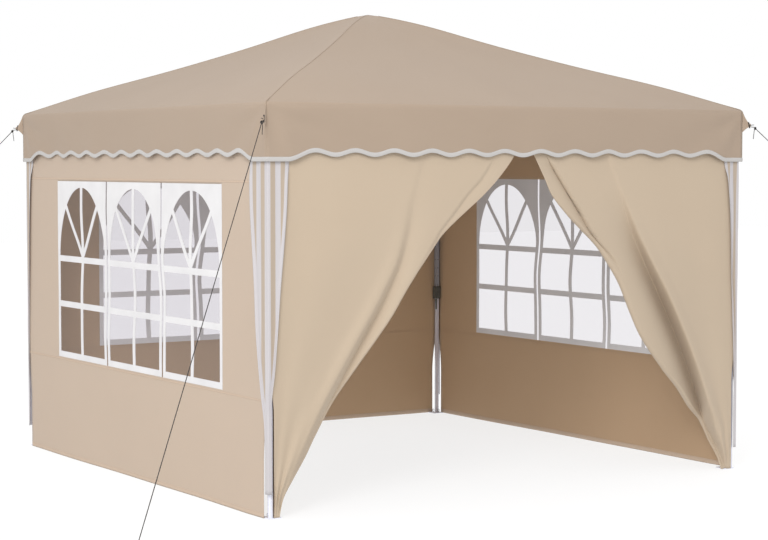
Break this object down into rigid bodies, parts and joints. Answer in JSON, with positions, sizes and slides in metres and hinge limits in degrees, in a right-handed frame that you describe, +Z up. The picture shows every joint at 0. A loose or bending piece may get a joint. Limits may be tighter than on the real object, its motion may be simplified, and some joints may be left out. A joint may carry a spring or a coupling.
{
  "type": "pop-up party tent",
  "caption": "Free-standing pop-up party tent with a pyramid roof, window walls on three sides, an open front with drawn-back flaps, telescoping legs and guy ropes.",
  "frame": {"origin": "on the ground, under the peak of the roof", "axes": "+Z up, the open front faces -Y, +X to the right of someone who looks at the front"},
  "size_m": [5.8914, 5.8914, 2.5449],
  "materials": {
    "zinc": "satin zinc-plated steel tube",
    "canopy_cloth": "matte coated polyester, darker beige",
    "wall_cloth": "matte coated polyester, light beige",
    "striped_cloth": "matte coated polyester, beige and white stripes",
    "window_film": "clear soft film",
    "rope": "dark braided cord"
  },
  "bodies": {
    "standing": {"inner_leg_front_left": "zinc", "inner_leg_front_right": "zinc", "inner_leg_back_right": "zinc", "inner_leg_back_left": "zinc", "wall_right": "wall_cloth", "wall_back": "wall_cloth", "wall_left": "wall_cloth", "window_film_right": "window_film", "window_film_back": "window_film", "window_film_left": "window_film", "door_flap_left": "wall_cloth", "door_flap_right": "wall_cloth", "leg_drape_front_left": "striped_cloth", "leg_drape_front_right": "striped_cloth", "leg_drape_back_right": "striped_cloth", "leg_drape_back_left": "striped_cloth", "guy_rope_front_left": "rope", "guy_rope_front_right": "rope", "guy_rope_back_right": "rope", "guy_rope_back_left": "rope", "peg_front_left": "zinc", "peg_front_right": "zinc", "peg_back_right": "zinc", "peg_back_left": "zinc"},
    "head": {"outer_leg_front_left": "zinc", "outer_leg_front_right": "zinc", "outer_leg_back_right": "zinc", "outer_leg_back_left": "zinc", "side_truss_front": "zinc", "side_truss_right": "zinc", "side_truss_back": "zinc", "side_truss_left": "zinc", "roof_truss_front": "zinc", "roof_truss_right": "zinc", "roof_truss_back": "zinc", "roof_truss_left": "zinc", "centre_mast": "zinc", "roof_panel_front": "canopy_cloth", "roof_panel_right": "canopy_cloth", "roof_panel_back": "canopy_cloth", "roof_panel_left": "canopy_cloth", "valance_front": "canopy_cloth", "valance_right": "canopy_cloth", "valance_back": "canopy_cloth", "valance_left": "canopy_cloth", "corner_tab_front_left": "canopy_cloth", "corner_tab_front_right": "canopy_cloth", "corner_tab_back_right": "canopy_cloth", "corner_tab_back_left": "canopy_cloth"}
  },
  "joints": [
    {"name": "leg_height", "type": "slide", "parent": "standing", "child": "head", "axis": [0, 0, 1], "range_m": [-0.16, 0]}
  ]
}
